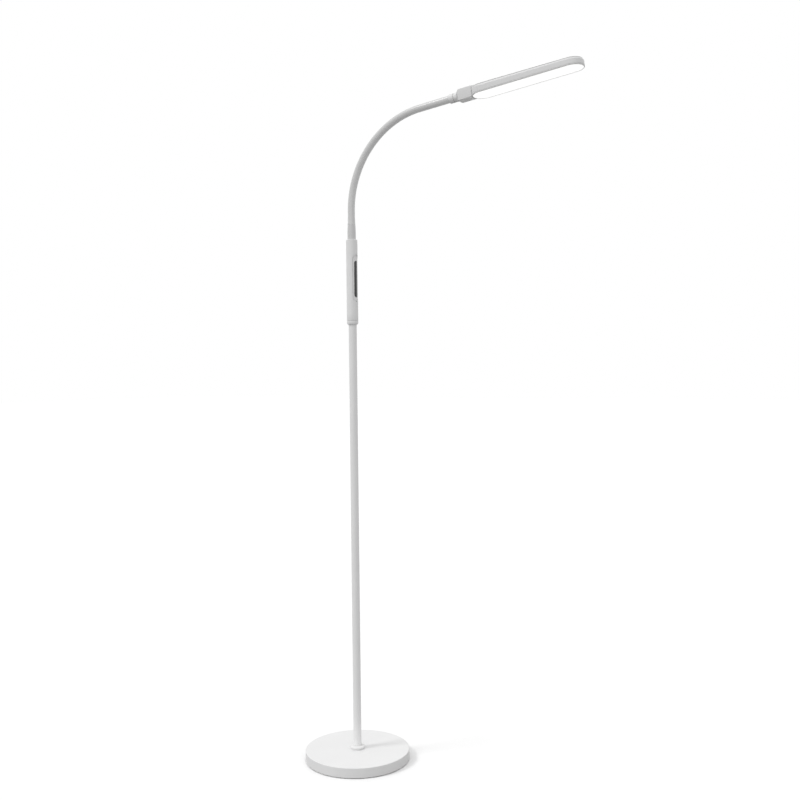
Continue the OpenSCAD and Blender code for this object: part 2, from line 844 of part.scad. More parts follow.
// The neck block with the slope that runs down onto the head
module block_solid() {
    top = block_h / 2;
    head_top = head_bottom_w + head_t;
    front = block_l + 1;
    intersection() {
        translate([block_u, block_w / 2, 0]) rotate([90, 0, 0]) linear_extrude(height = block_w) difference() {
            polygon([[0, -top], [front, -top], [front + slope_l, head_top - 1], [front + slope_l, head_top],
                [front, top], [0, top]]);
            translate([-1, top - block_round]) difference() {
                square([block_round + 1, block_round + 1]);
                translate([block_round + 1, 0]) circle(r = block_round);
            }
        }
        translate([block_u, 0, -block_h]) linear_extrude(height = 2 * block_h) {
            translate([3, -block_w / 2]) square([block_l + slope_l + 10, block_w]);
            translate([0, -block_w / 2 + 3]) square([4, block_w - 6]);
            for (side = [-1, 1]) translate([3, side * (block_w / 2 - 3)]) circle(r = 3);
        }
    }
}

// The hollow of the neck block, open into the head
module block_hollow() {
    half_w = block_w / 2 - block_wall;
    translate([block_u + block_wall, -half_w, head_bottom_w - 1])
        cube([block_l - 2 * block_wall, 2 * half_w, block_h - block_wall + 1]);
    translate([block_u + block_wall, -half_w, head_bottom_w - 1])
        cube([block_l + 8, 2 * half_w, ceiling_w - head_bottom_w + 1]);
}

module cover_posts(r, low) {
    for (side = [-1, 1]) translate([block_screw_u, side * block_screw_y, low])
        cylinder(r = r, h = block_h / 2 - block_wall - low + eps);
}

module led_board_posts(r, low) {
    for (u = [led_board_u + 8, led_board_u + led_board_l / 2, led_board_u + led_board_l - 8])
        translate([u, 0, low]) cylinder(r = r, h = ceiling_w - low + eps);
}

module head_top() {
    color(white) head_frame_at() difference() {
        union() {
            difference() {
                union() {
                    head_solid(0, seam_w, head_bottom_w + head_t, head_round);
                    block_solid();
                }
                head_solid(head_wall, seam_w - 1, ceiling_w, head_round - head_wall);
                block_hollow();
                head_plate(-seat_gap, head_bottom_w - 1, seam_w);
            }
            cover_posts(2.6, head_bottom_w + cover_plate_t + seat_gap);
            led_board_posts(3, led_board_t / 2);
        }
        translate([block_u - 1, 0, 0]) rotate([0, 90, 0]) cylinder(r = spindle_r + 0.3, h = block_wall + 2);
        translate([0, 0, -1]) cover_posts(1 + seat_gap / 2, head_bottom_w + cover_plate_t - 2);
        led_board_posts(led_screw_d / 2 + seat_gap / 2, led_board_t / 2 - 1);
    }
}

module neck_cover() {
    half_w = block_w / 2 - block_wall - seat_gap;
    color(white) head_frame_at() difference() {
        translate([block_u + block_wall + seat_gap, -half_w, head_bottom_w])
            cube([block_l, 2 * half_w, cover_plate_t]);
        head_plate(-seat_gap, head_bottom_w - 1, seam_w + 1);
        for (side = [-1, 1]) translate([block_screw_u, side * block_screw_y, head_bottom_w - 1]) {
            cylinder(r = 1 + seat_gap, h = cover_plate_t + 2);
            cylinder(r = 2 + seat_gap, h = 2);
        }
    }
}

module cover_screws() {
    color(steel) head_frame_at() for (side = [-1, 1])
        translate([block_screw_u, side * block_screw_y, head_bottom_w]) {
            cylinder(r = 2, h = 1);
            cylinder(r = 1, h = 10);
        }
}

module head_frame() {
    color(white) head_frame_at() difference() {
        union() {
            head_plate(0, head_bottom_w, seam_w);
            head_plate(head_wall + seat_gap, seam_w - eps, seam_w + upstand_h);
        }
        head_plate(frame_w, head_bottom_w - 1, seam_w - 0.6);
        head_plate(head_wall + seat_gap + upstand_t, head_bottom_w - 1, seam_w + upstand_h + 1);
    }
}

module diffuser() {
    color([0.97, 0.97, 0.95]) head_frame_at()
        head_plate(frame_w + seat_gap, seam_w - 0.6 - diffuser_t, seam_w - 0.6 - seat_gap / 2);
}

module led_board() {
    color(steel) head_frame_at() difference() {
        translate([led_board_u, -led_board_w / 2, -led_board_t / 2])
            cube([led_board_l, led_board_w, led_board_t]);
        led_board_posts(led_screw_d / 2 + seat_gap, -led_board_t);
    }
}

module led_chips() {
    pitch_u = (led_board_l - 12) / led_count;
    pitch_y = led_board_w / led_rows;
    color([0.95, 0.85, 0.35]) head_frame_at() for (i = [0:led_count - 1]) for (j = [0:led_rows - 1])
        translate([
            led_board_u + 6 + (i + 0.5) * pitch_u - chip_l / 2,
            (j - (led_rows - 1) / 2) * pitch_y - chip_w / 2,
            -led_board_t / 2 - chip_t
        ]) cube([chip_l, chip_w, chip_t]);
}

module led_screws() {
    color(steel) head_frame_at()
        for (u = [led_board_u + 8, led_board_u + led_board_l / 2, led_board_u + led_board_l - 8])
            translate([u, 0, -led_board_t / 2]) {
                translate([0, 0, -1.4]) cylinder(r = 2.4, h = 1.4);
                cylinder(r = led_screw_d / 2, h = led_board_t + 2.4);
            }
}

base_cover();
base_weight();
base_plate();
base_pad();
plate_screws();
dc_socket();
socket_nut();
pole_flange();
flange_bolts();
base_collar();
pole_lower();
pole_middle();
pole_upper();
joiner_lower();
joiner_upper();
top_insert();
module_nut();
feed_lead();
module_foot();
module_body();
module_cap();
control_board();
board_parts();
board_screws();
touch_springs();
touch_panel();
neck_ferrule();
neck_anchor();
anchor_nut();
neck_lead();
sleeve_1();
sleeve_2();
sleeve_3();
sleeve_4();
sleeve_5();
sleeve_6();
sleeve_7();
sleeve_8();
conduit_1();
conduit_2();
conduit_3();
conduit_4();
conduit_5();
conduit_6();
conduit_7();
conduit_8();
end_ferrule();
swivel_spindle();
swivel_nut();
friction_washer();
swivel_collar();
head_top();
neck_cover();
cover_screws();
head_frame();
diffuser();
led_board();
led_chips();
led_screws();
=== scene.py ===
import math

import bmesh
import bpy
import numpy as np
from mathutils import Matrix, Vector


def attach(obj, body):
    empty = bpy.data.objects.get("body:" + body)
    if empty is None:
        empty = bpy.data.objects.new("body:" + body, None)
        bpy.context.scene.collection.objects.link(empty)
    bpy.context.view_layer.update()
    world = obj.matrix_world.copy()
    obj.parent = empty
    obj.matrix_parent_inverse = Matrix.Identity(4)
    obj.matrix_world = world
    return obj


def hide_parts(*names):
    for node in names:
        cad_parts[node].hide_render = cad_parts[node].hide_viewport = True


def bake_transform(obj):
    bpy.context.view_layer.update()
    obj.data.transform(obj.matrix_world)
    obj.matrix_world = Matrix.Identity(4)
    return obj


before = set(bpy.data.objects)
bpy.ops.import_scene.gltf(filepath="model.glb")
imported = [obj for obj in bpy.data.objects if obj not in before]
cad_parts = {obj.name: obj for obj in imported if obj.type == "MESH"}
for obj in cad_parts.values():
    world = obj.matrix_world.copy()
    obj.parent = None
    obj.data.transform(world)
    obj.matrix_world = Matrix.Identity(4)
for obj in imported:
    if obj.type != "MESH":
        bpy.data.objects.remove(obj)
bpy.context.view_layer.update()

MM = 0.001
TAU = 2 * math.pi

# ---------------------------------------------------------------- sizes, in millimetres, as in the part

# The base, a round plate that stands on a pad
BASE_R = 125.0
BASE_H = 25.0

# The pole, three tubes screwed together
POLE_R = 9.5
POLE_BORE_R = 8.3
POLE_Z = 29.0
SECTION_L = 340.0

# The control module: its foot, its body with the touch panel, and its cap
MODULE_R = 13.5
MODULE_Z = 1043.0
BODY_Z = 1056.0
BODY_TOP = 1246.0
MODULE_TOP = 1248.0
RECESS_MID = 1156.5
RECESS_L = 111.0
RECESS_W = 20.5
PANEL_MID = 1154.5
PANEL_L = 87.0
PANEL_W = 11.5

# The gooseneck: a ferrule, a straight start, a bend in the plane y = 0, and a straight end
LINKS = 8
BENDS = 6
FERRULE_TOP = 1283.2
HINGE_1_Z = 1285.5
BEND_Z = 1318.0
BEND_R = 214.0
BEND = math.radians(84)
BEND_L = BEND_R * BEND
NECK_R = 8.5
SLEEVE_BORE_R = 8.05
FLARE = 0.75
FLARE_L = 24.0
NECK_RUN = 81.5

# The lead inside the gooseneck, and the stretch past the bend where the swivel twists it
LEAD_R = 1.8
LEAD_START_Z = 1213.5
LEAD_LINK_RUN = 60.0
LEAD_END_RUN = 156.4

# The swivel: two rings with a groove between them, and a narrow neck
RING_R = 10.5
RING_BEVEL = 0.9
FERRULE_RING_L = 11.0
COLLAR_U = 94.0
COLLAR_RING_L = 9.0
COLLAR_NECK_R = 9.0
COLLAR_NECK_L = 1.5

# The head: a block at its near end, the housing, and a frame with a lens below it. U runs along the
# head's axis from the end of the bend, and heights count from that axis.
BLOCK_U = 104.5
BLOCK_L = 35.0
BLOCK_W = 25.0
BLOCK_TOP = 12.5
HEAD_U = BLOCK_U + BLOCK_L
HEAD_L = 259.0
HEAD_W = 54.0
LOW = -12.5
TOP = 7.5
SEAM = -9.9
CEILING = 5.7


# ---------------------------------------------------------------- places

def at_neck(s):
    """The frame of the point s along the gooseneck, with Z along it."""
    if s < 0:
        return Matrix.Translation((0, 0, BEND_Z + s))
    t = min(s, BEND_L) / BEND_R
    spot = Matrix.Translation((BEND_R * (1 - math.cos(t)), 0, BEND_Z + BEND_R * math.sin(t)))
    spot = spot @ Matrix.Rotation(t, 4, "Y")
    return spot @ Matrix.Translation((0, 0, max(0.0, s - BEND_L)))


def along_head(u):
    """A shape along +Z turned into one along the head's axis, starting at u."""
    return at_neck(BEND_L) @ Matrix.Translation((0, 0, u))


HEAD = at_neck(BEND_L) @ Matrix.Rotation(-math.pi / 2, 4, "Y")
BLOCK_PLACE = HEAD @ Matrix.Translation((BLOCK_U, 0, 0))
HEAD_PLACE = HEAD @ Matrix.Translation((HEAD_U, 0, 0))


# ---------------------------------------------------------------- meshes

def fillet(points, radii, steps=8, closed=False):
    """A polyline with its corners rounded. Beside each arc, a point keeps the flat next to it flat."""
    most_of_side, hold_gap, hold_most = 0.48, 0.4, 0.49
    out = []
    n = len(points)
    for i, (p, r) in enumerate(zip(points, radii)):
        if r <= 0 or (not closed and i in (0, n - 1)):
            out.append(tuple(p))
            continue
        p = Vector(p)
        a = Vector(points[i - 1]) - p
        b = Vector(points[(i + 1) % n]) - p
        la, lb = a.length, b.length
        a, b = a / la, b / lb
        half = a.angle(b) / 2
        cut = min(r / math.tan(half), la * most_of_side, lb * most_of_side)
        r = cut * math.tan(half)
        hold = [tuple(p + d * min(cut + hold_gap, hold_most * side)) for d, side in ((a, la), (b, lb))]
        out.append(hold[0])
        centre = p + (a + b).normalized() * (r / math.sin(half))
        v0 = p + a * cut - centre
        v1 = p + b * cut - centre
        turn = v0.angle(v1)
        cross = v0.x * v1.y - v0.y * v1.x
        sign = 1 if cross > 0 else -1
        for k in range(steps + 1):
            w = sign * turn * k / steps
            out.append((centre.x + v0.x * math.cos(w) - v0.y * math.sin(w),
                        centre.y + v0.x * math.sin(w) + v0.y * math.cos(w)))
        out.append(hold[1])
    return out


def circle(r, z, segs):
    """The points of a circle around Z."""
    return [(r * math.cos(TAU * k / segs), r * math.sin(TAU * k / segs), z) for k in range(segs)]


def stadium(length, width, arc=48, side=40):
    """A closed outline with round ends, from x 0 to its length."""
    r = width / 2
    straight = length - width
    pts = []
    for k in range(arc + 1):
        a = -math.pi / 2 + math.pi * k / arc
        pts.append((length - r + r * math.cos(a), r * math.sin(a)))
    for k in range(1, side):
        pts.append((length - r - straight * k / side, r))
    for k in range(arc + 1):
        a = math.pi / 2 + math.pi * k / arc
        pts.append((r + r * math.cos(a), r * math.sin(a)))
    for k in range(1, side):
        pts.append((r + straight * k / side, -r))
    return pts


def stadium_rings(length, width, levels, arc=48, side=40):
    """Rings of one stadium at several (inset, height) levels."""
    return [[(x + inset, y, h) for x, y in stadium(length - 2 * inset, width - 2 * inset, arc, side)]
            for inset, h in levels]


def smooth(mesh, sharp):
    """Smooth shading, apart from the edges that turn by more than so many degrees."""
    mesh.shade_smooth()
    mesh.set_sharp_from_angle(angle=math.radians(sharp))


def to_place(mesh, spot):
    """Moves a mesh in millimetres to its place and turns it into metres."""
    if spot is not None:
        mesh.transform(spot)
    mesh.transform(Matrix.Scale(MM, 4))


def show(name, mesh, sharp=35):
    """Puts a mesh into the scene as an object."""
    smooth(mesh, sharp)
    obj = bpy.data.objects.new(name, mesh)
    bpy.context.scene.collection.objects.link(obj)
    return obj


def make(name, verts, faces, spot=None, sharp=35):
    """A mesh object from points in millimetres."""
    mesh = bpy.data.meshes.new(name)
    mesh.from_pydata([tuple(v) for v in verts], [], faces)
    to_place(mesh, spot)
    bm = bmesh.new()
    bm.from_mesh(mesh)
    bmesh.ops.remove_doubles(bm, verts=bm.verts, dist=1e-7)
    bmesh.ops.recalc_face_normals(bm, faces=bm.faces)
    bm.to_mesh(mesh)
    bm.free()
    return show(name, mesh, sharp)


def box(name, low, high, spot=None):
    """A box between two corners."""
    bm = bmesh.new()
    bmesh.ops.create_cube(bm, size=1)
    for v in bm.verts:
        v.co = [low[i] + (v.co[i] + 0.5) * (high[i] - low[i]) for i in range(3)]
    mesh = bpy.data.meshes.new(name)
    bm.to_mesh(mesh)
    bm.free()
    to_place(mesh, spot)
    return show(name, mesh)


def revolve(name, profile, spot=None, segs=160, closed=False, sharp=35):
    """A profile of (radius, height) turned around Z."""
    verts, rings = [], []
    for r, z in profile:
        if r < 1e-6:
            rings.append([len(verts)])
            verts.append((0, 0, z))
        else:
            rings.append(list(range(len(verts), len(verts) + segs)))
            verts += circle(r, z, segs)
    pairs = list(zip(rings, rings[1:]))
    if closed:
        pairs.append((rings[-1], rings[0]))
    faces = []
    for a, b in pairs:
        for k in range(segs):
            j = (k + 1) % segs
            if len(a) == 1 and len(b) == 1:
                continue
            if len(a) == 1:
                faces.append((a[0], b[k], b[j]))
            elif len(b) == 1:
                faces.append((a[k], a[j], b[0]))
            else:
                faces.append((a[k], a[j], b[j], b[k]))
    return make(name, verts, faces, spot, sharp)


def loft(name, rings, spot=None, closed=False, sharp=35, warp=None):
    """Rings of equally many points joined in turn. It has flat ends or, where closed, none."""
    n = len(rings[0])
    verts = [p for ring in rings for p in ring]
    if warp:
        verts = [warp(*p) for p in verts]
    faces = []
    pairs = list(zip(range(len(rings)), range(1, len(rings))))
    if closed:
        pairs.append((len(rings) - 1, 0))
    for i, j in pairs:
        for k in range(n):
            m = (k + 1) % n
            faces.append((i * n + k, i * n + m, j * n + m, j * n + k))
    if not closed:
        faces.append(tuple(reversed(range(n))))
        faces.append(tuple((len(rings) - 1) * n + k for k in range(n)))
    return make(name, verts, faces, spot, sharp)


def head_loft(name, levels, **options):
    """The head's own outline lofted through several (inset, height) levels."""
    return loft(name, stadium_rings(HEAD_L, HEAD_W, levels), HEAD_PLACE, **options)


def combine(obj, others, how, sharp=30):
    """Adds or cuts the other shapes, worked out in millimetres, and keeps the result in obj."""
    for shape in [obj] + others:
        shape.data.transform(Matrix.Scale(1 / MM, 4))
    for other in others:
        mod = obj.modifiers.new("cut", "BOOLEAN")
        mod.operation = how
        mod.solver = "EXACT"
        mod.object = other
    bpy.context.view_layer.update()
    done = bpy.data.meshes.new_from_object(obj.evaluated_get(bpy.context.evaluated_depsgraph_get()))
    obj.modifiers.clear()
    done.transform(Matrix.Scale(MM, 4))
    obj.data = done
    smooth(done, sharp)
    for other in others:
        bpy.data.objects.remove(other)
    return obj


def neck_ring(s, r, segs):
    """A circle across the gooseneck at s."""
    spot = at_neck(s)
    return [tuple(spot @ Vector(p)) for p in circle(r, 0, segs)]


def tube(name, s0, s1, r_out, r_in, flare=0.0, step=2.0, segs=96):
    """A tube along the gooseneck's centre line, wider by flare at its start."""
    count = max(2, round((s1 - s0) / step))
    rings = []
    for wall, backwards in ((r_out, False), (r_in, True)):
        row = []
        for i in range(count + 1):
            near_start = max(0.0, 1 - (s1 - s0) * i / count / FLARE_L)
            row.append(neck_ring(s0 + (s1 - s0) * i / count, wall + flare * near_start ** 2, segs))
        rings += row[::-1] if backwards else row
    return loft(name, rings, closed=True, sharp=50)


def rod(name, s0, s1, r, step=4.0, segs=24):
    """A solid rod along the gooseneck's centre line."""
    count = max(2, round((s1 - s0) / step))
    return loft(name, [neck_ring(s0 + (s1 - s0) * i / count, r, segs) for i in range(count + 1)], sharp=50)


# ---------------------------------------------------------------- materials

SHADER_INPUTS = {"color": "Base Color", "rough": "Roughness", "metal": "Metallic", "coat": "Coat Weight",
                 "coat_rough": "Coat Roughness", "spec": "Specular IOR Level", "aniso": "Anisotropic",
                 "emit": "Emission Color", "emission": "Emission Strength"}


class Shader:
    """A small helper that builds one procedural material. Its noises mostly run from 0.3 to 0.7."""

    def __init__(self, name):
        self.mat = bpy.data.materials.new(name)
        self.mat.use_nodes = True
        self.tree = self.mat.node_tree
        self.tree.nodes.clear()
        self.out = self.node("ShaderNodeOutputMaterial")
        self.bsdf = self.node("ShaderNodeBsdfPrincipled")
        self.link(self.bsdf.outputs[0], self.out.inputs["Surface"])
        self.coord = self.node("ShaderNodeTexCoord").outputs["Object"]
        self.relief = None

    def node(self, kind, **values):
        n = self.tree.nodes.new(kind)
        for k, v in values.items():
            setattr(n, k, v)
        return n

    def link(self, a, b):
        self.tree.links.new(a, b)

    def put(self, socket, value):
        if isinstance(value, bpy.types.NodeSocket):
            self.link(value, socket)
        else:
            socket.default_value = value

    def noise(self, scale, detail=3.0, stretch=None):
        at = self.coord
        if stretch:
            m = self.node("ShaderNodeMapping")
            m.inputs["Scale"].default_value = stretch
            self.link(at, m.inputs["Vector"])
            at = m.outputs[0]
        n = self.node("ShaderNodeTexNoise")
        n.inputs["Scale"].default_value = scale
        n.inputs["Detail"].default_value = detail
        n.inputs["Roughness"].default_value = 0.55
        self.link(at, n.inputs["Vector"])
        return n.outputs["Fac"]

    def cells(self, scale, feature="F1"):
        n = self.node("ShaderNodeTexVoronoi", feature=feature)
        n.inputs["Scale"].default_value = scale
        self.link(self.coord, n.inputs["Vector"])
        return n.outputs["Distance"]

    def remap(self, value, to_low, to_high, low=0.3, high=0.7):
        """A value that runs from low to high, stretched to run from to_low to to_high."""
        n = self.node("ShaderNodeMapRange")
        self.link(value, n.inputs["Value"])
        for key, v in (("From Min", low), ("From Max", high), ("To Min", to_low), ("To Max", to_high)):
            n.inputs[key].default_value = v
        return n.outputs[0]

    def mix(self, fac, a, b):
        n = self.node("ShaderNodeMix", data_type="RGBA")
        self.put(n.inputs["Factor"], fac)
        for socket, value in ((n.inputs[6], a), (n.inputs[7], b)):
            self.put(socket, tuple(value) + (1.0,) if isinstance(value, (tuple, list)) else value)
        return n.outputs[2]

    def two_tone(self, value, a, b, low=0.3, high=0.7):
        """Two colours that follow a noise."""
        return self.mix(self.remap(value, 0.0, 1.0, low, high), a, b)

    def set(self, **values):
        for key, v in values.items():
            self.put(self.bsdf.inputs[SHADER_INPUTS[key]], v)

    def bump(self, value, strength, depth):
        """Relief that is so many millimetres deep, on top of the relief so far."""
        n = self.node("ShaderNodeBump")
        n.inputs["Strength"].default_value = strength
        n.inputs["Distance"].default_value = depth * MM
        self.link(value, n.inputs["Height"])
        if self.relief is not None:
            self.link(self.relief, n.inputs["Normal"])
        self.relief = n.outputs[0]
        self.link(self.relief, self.bsdf.inputs["Normal"])


def shade(color, k):
    return tuple(min(1.0, c * k) for c in color)


def grey(value):
    return (value, value, value)


def lacquer(name, color, rough, grain, grain_depth, coat=0.0, spec=0.5):
    """Powder coat or moulded plastic: faint mottling, orange peel, and patches of different sheen."""
    s = Shader(name)
    patch = s.noise(14.0, detail=4.0)
    fine = s.noise(grain, detail=2.0)
    tone = s.two_tone(patch, shade(color, 0.985), shade(color, 1.012))
    speck = s.remap(s.noise(grain * 0.7, detail=1.0), 0.0, 0.35, low=0.70, high=0.76)
    tone = s.mix(speck, tone, shade(color, 0.94))
    sheen = s.remap(s.noise(45.0, detail=5.0), rough - 0.04, rough + 0.05)
    s.set(color=tone, rough=sheen, coat=coat, coat_rough=0.2, spec=spec)
    s.bump(fine, strength=0.5, depth=grain_depth)
    s.bump(patch, strength=0.15, depth=0.05)
    return s.mat


def sleeve_material():
    s = Shader("white silicone sleeve")
    dust = s.noise(60.0, detail=5.0)
    fine = s.noise(2600.0, detail=2.0)
    s.set(color=s.two_tone(dust, (0.60, 0.60, 0.598), (0.625, 0.625, 0.623), low=0.35),
          rough=s.remap(dust, 0.24, 0.32), spec=0.9, coat=0.6, coat_rough=0.12)
    s.bump(fine, strength=0.5, depth=0.02)
    s.bump(dust, strength=0.2, depth=0.06)
    return s.mat


def panel_material():
    s = Shader("black touch glass")
    smear = s.noise(55.0, detail=5.0, stretch=(1.0, 1.0, 0.35))
    s.set(color=s.mix(s.noise(300.0), (0.008, 0.008, 0.009), (0.014, 0.014, 0.015)),
          rough=s.remap(smear, 0.10, 0.24, low=0.35, high=0.75), coat=0.25,
          coat_rough=s.remap(smear, 0.04, 0.2, low=0.4, high=0.8))
    s.bump(s.noise(120.0, detail=2.0), strength=0.1, depth=0.02)
    return s.mat


def opal_material():
    s = Shader("lit opal diffuser")
    grain = s.noise(900.0, detail=2.0)
    glow = s.two_tone(s.noise(20.0, detail=2.0), (1.0, 0.995, 0.985), (1.0, 1.0, 1.0))
    s.set(color=(0.9, 0.9, 0.89, 1.0), rough=s.remap(grain, 0.4, 0.5), emit=glow, emission=0.66)
    s.bump(grain, strength=0.3, depth=0.02)
    return s.mat


def metal_material(name, color, stretch, rough=0.32):
    """Metal with fine lines, drawn out along the axes where stretch is small."""
    s = Shader(name)
    lines = s.noise(900.0, detail=4.0, stretch=stretch)
    spots = s.noise(70.0, detail=4.0)
    tone = s.two_tone(lines, shade(color, 0.86), shade(color, 1.08))
    s.set(color=tone, metal=1.0, rough=s.remap(spots, rough - 0.07, rough + 0.1), aniso=0.4)
    s.bump(lines, strength=0.3, depth=0.02)
    return s.mat


def iron_material():
    s = Shader("cast iron")
    pits = s.cells(420.0)
    blotch = s.noise(35.0, detail=6.0)
    tone = s.two_tone(blotch, (0.045, 0.045, 0.047), (0.085, 0.08, 0.076), low=0.35, high=0.65)
    s.set(color=tone, metal=0.6, rough=s.remap(blotch, 0.55, 0.8))
    s.bump(pits, strength=0.6, depth=0.35)
    s.bump(s.noise(1300.0), strength=0.5, depth=0.1)
    return s.mat


def rubber_material(name, color, rough, grain):
    s = Shader(name)
    dust = s.noise(50.0, detail=5.0)
    tone = s.two_tone(dust, color, shade(color, 1.6), low=0.45, high=0.75)
    s.set(color=tone, rough=s.remap(dust, rough - 0.06, rough + 0.08))
    s.bump(s.noise(grain), strength=0.6, depth=0.06)
    return s.mat


def board_material():
    s = Shader("solder mask and copper")
    tracks = s.cells(160.0, "DISTANCE_TO_EDGE")
    copper = s.remap(tracks, 1.0, 0.0, low=0.03, high=0.05)
    s.set(color=s.mix(copper, (0.015, 0.10, 0.045), (0.03, 0.19, 0.08)),
          rough=s.remap(s.noise(500.0), 0.28, 0.42), coat=0.3)
    s.bump(tracks, strength=0.3, depth=0.05)
    return s.mat


def mask_material():
    s = Shader("white solder mask")
    tracks = s.cells(70.0, "DISTANCE_TO_EDGE")
    copper = s.remap(tracks, 1.0, 0.0, low=0.02, high=0.04)
    s.set(color=s.mix(copper, (0.80, 0.80, 0.79), (0.70, 0.70, 0.68)),
          rough=s.remap(s.noise(600.0), 0.35, 0.5))
    s.bump(tracks, strength=0.25, depth=0.03)
    return s.mat


def phosphor_material():
    s = Shader("yellow phosphor")
    dots = s.noise(3500.0)
    s.set(color=s.mix(dots, (0.80, 0.60, 0.07), (0.92, 0.76, 0.20)), rough=s.remap(dots, 0.25, 0.4),
          emit=(1.0, 0.9, 0.7, 1.0), emission=0.4)
    s.bump(dots, strength=0.4, depth=0.02)
    return s.mat


mat_pole = lacquer("white powder coat", grey(0.815), rough=0.48, grain=1500.0, grain_depth=0.03, spec=0.1)
mat_base = lacquer("white base cover", grey(0.83), rough=0.48, grain=1100.0, grain_depth=0.04, spec=0.1)
mat_module = lacquer("white module plastic", grey(0.81), rough=0.48, grain=2200.0, grain_depth=0.02, spec=0.1)
mat_head = lacquer("white head enamel", grey(0.705), rough=0.38, grain=1800.0, grain_depth=0.02, coat=0.1,
                   spec=0.6)
# A shade darker than the head's enamel: partly the plastic's own tone, partly painted shade for the underside
# of the block.
mat_painted_shade_trim = lacquer("head plastic with painted shade", (0.68, 0.68, 0.675), rough=0.42, grain=2000.0, grain_depth=0.02)
mat_ferrule = lacquer("grey ferrule", grey(0.605), rough=0.34, grain=1800.0, grain_depth=0.02, coat=0.2,
                      spec=0.7)
mat_nylon = lacquer("natural nylon", (0.60, 0.60, 0.58), rough=0.50, grain=1500.0, grain_depth=0.03)
mat_sleeve = sleeve_material()
mat_panel = panel_material()
mat_opal = opal_material()
mat_steel = metal_material("brushed steel", (0.55, 0.56, 0.57), stretch=(0.1, 0.1, 3.0))
mat_conduit = metal_material("coiled steel conduit", (0.48, 0.49, 0.50), stretch=(1.0, 1.0, 8.0), rough=0.38)
mat_spring = metal_material("copper springs", (0.85, 0.52, 0.30), stretch=(1.0, 1.0, 4.0), rough=0.25)
mat_iron = iron_material()
mat_pad = rubber_material("black foam pad", (0.022, 0.022, 0.023), rough=0.85, grain=900.0)
mat_black = rubber_material("black plastic", (0.016, 0.016, 0.017), rough=0.5, grain=2200.0)
mat_lead = rubber_material("black lead jacket", (0.02, 0.02, 0.021), rough=0.55, grain=2600.0)
mat_board = board_material()
mat_mask = mask_material()
mat_phosphor = phosphor_material()

# The CAD nodes that are carried over as they are
CARRIED = {
    mat_iron: ["base_weight"],
    mat_steel: ["base_plate", "plate_screws", "socket_nut", "pole_flange", "flange_bolts", "joiner_lower",
                "joiner_upper", "top_insert", "module_nut", "board_screws", "anchor_nut", "swivel_spindle",
                "swivel_nut", "cover_screws", "led_screws"],
    mat_conduit: ["neck_anchor"] + [f"conduit_{i}" for i in range(1, LINKS + 1)],
    mat_spring: ["touch_springs"],
    mat_pad: ["base_pad"],
    mat_black: ["dc_socket", "board_parts"],
    mat_nylon: ["friction_washer"],
    mat_lead: ["feed_lead"],
    mat_board: ["control_board"],
    mat_mask: ["led_board"],
    mat_phosphor: ["led_chips"],
}


def dress(obj, mat):
    obj.data.materials.clear()
    obj.data.materials.append(mat)


def place(obj, mat, body, slot, *nodes):
    """Gives a piece its material and its body where one body carries it, and hides the nodes it replaces;
    slot is not used.
    """
    dress(obj, mat)
    if body:
        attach(obj, body)
    if nodes:
        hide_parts(*nodes)


for mat, names in CARRIED.items():
    for name in names:
        dress(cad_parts[name], mat)


# ---------------------------------------------------------------- base

def cover_profile():
    """The cover's section from the middle of its top out to its rim and in again below."""
    wall, foot_z, rim_bevel, foot_bevel = 2.5, 1.5, 1.5, 0.6
    flat_r, flat_rings = BASE_R * 0.985, 24
    outline = [(0.0, BASE_H), (BASE_R, BASE_H), (BASE_R, foot_z), (BASE_R - wall, foot_z),
               (BASE_R - wall, BASE_H - wall), (0.0, BASE_H - wall)]
    line = fillet(outline, [0, rim_bevel, foot_bevel, 0, 0, 0])
    flat = [(flat_r * k / flat_rings, BASE_H) for k in range(1, flat_rings)]
    return line[:1] + flat + line[1:]


def collar_profile():
    """The collar at the pole's foot: a shadow gap, a ring over it, and a top that slopes up to the pole."""
    bore_r, gap_r, ring_r, slope_r = POLE_R + 0.15, 14.2, 17.0, 12.5
    foot_z, ring_z, edge_z, slope_z, top_z = BASE_H + 0.02, 28.0, 31.4, 33.0, 33.3
    outline = [(bore_r, foot_z), (gap_r, foot_z), (gap_r, ring_z), (ring_r, ring_z), (ring_r, edge_z),
               (slope_r, slope_z), (bore_r, top_z)]
    return fillet(outline, [0, 0, 0, 0.4, 1.0, 3.0, 0.3], 10, closed=True)


place(revolve("base_cover_shell", cover_profile(), segs=256), mat_base, "stand", "cover_plastic",
      "base_cover")
place(revolve("foot_collar", collar_profile(), closed=True), mat_module, "stand", "cover_plastic",
      "base_collar")

# ---------------------------------------------------------------- pole

TUBE_BEVEL = 0.08

for i, node in enumerate(["pole_lower", "pole_middle", "pole_upper"]):
    z0, z1 = POLE_Z + i * SECTION_L, POLE_Z + (i + 1) * SECTION_L
    walls = fillet([(POLE_BORE_R, z0), (POLE_R, z0), (POLE_R, z1), (POLE_BORE_R, z1)],
                   [0, TUBE_BEVEL, TUBE_BEVEL, 0], 2, closed=True)
    section = revolve(node.replace("pole", "tube"), walls, closed=True, segs=128)
    place(section, mat_pole, "stand", "white_paint", node)


# ---------------------------------------------------------------- control module

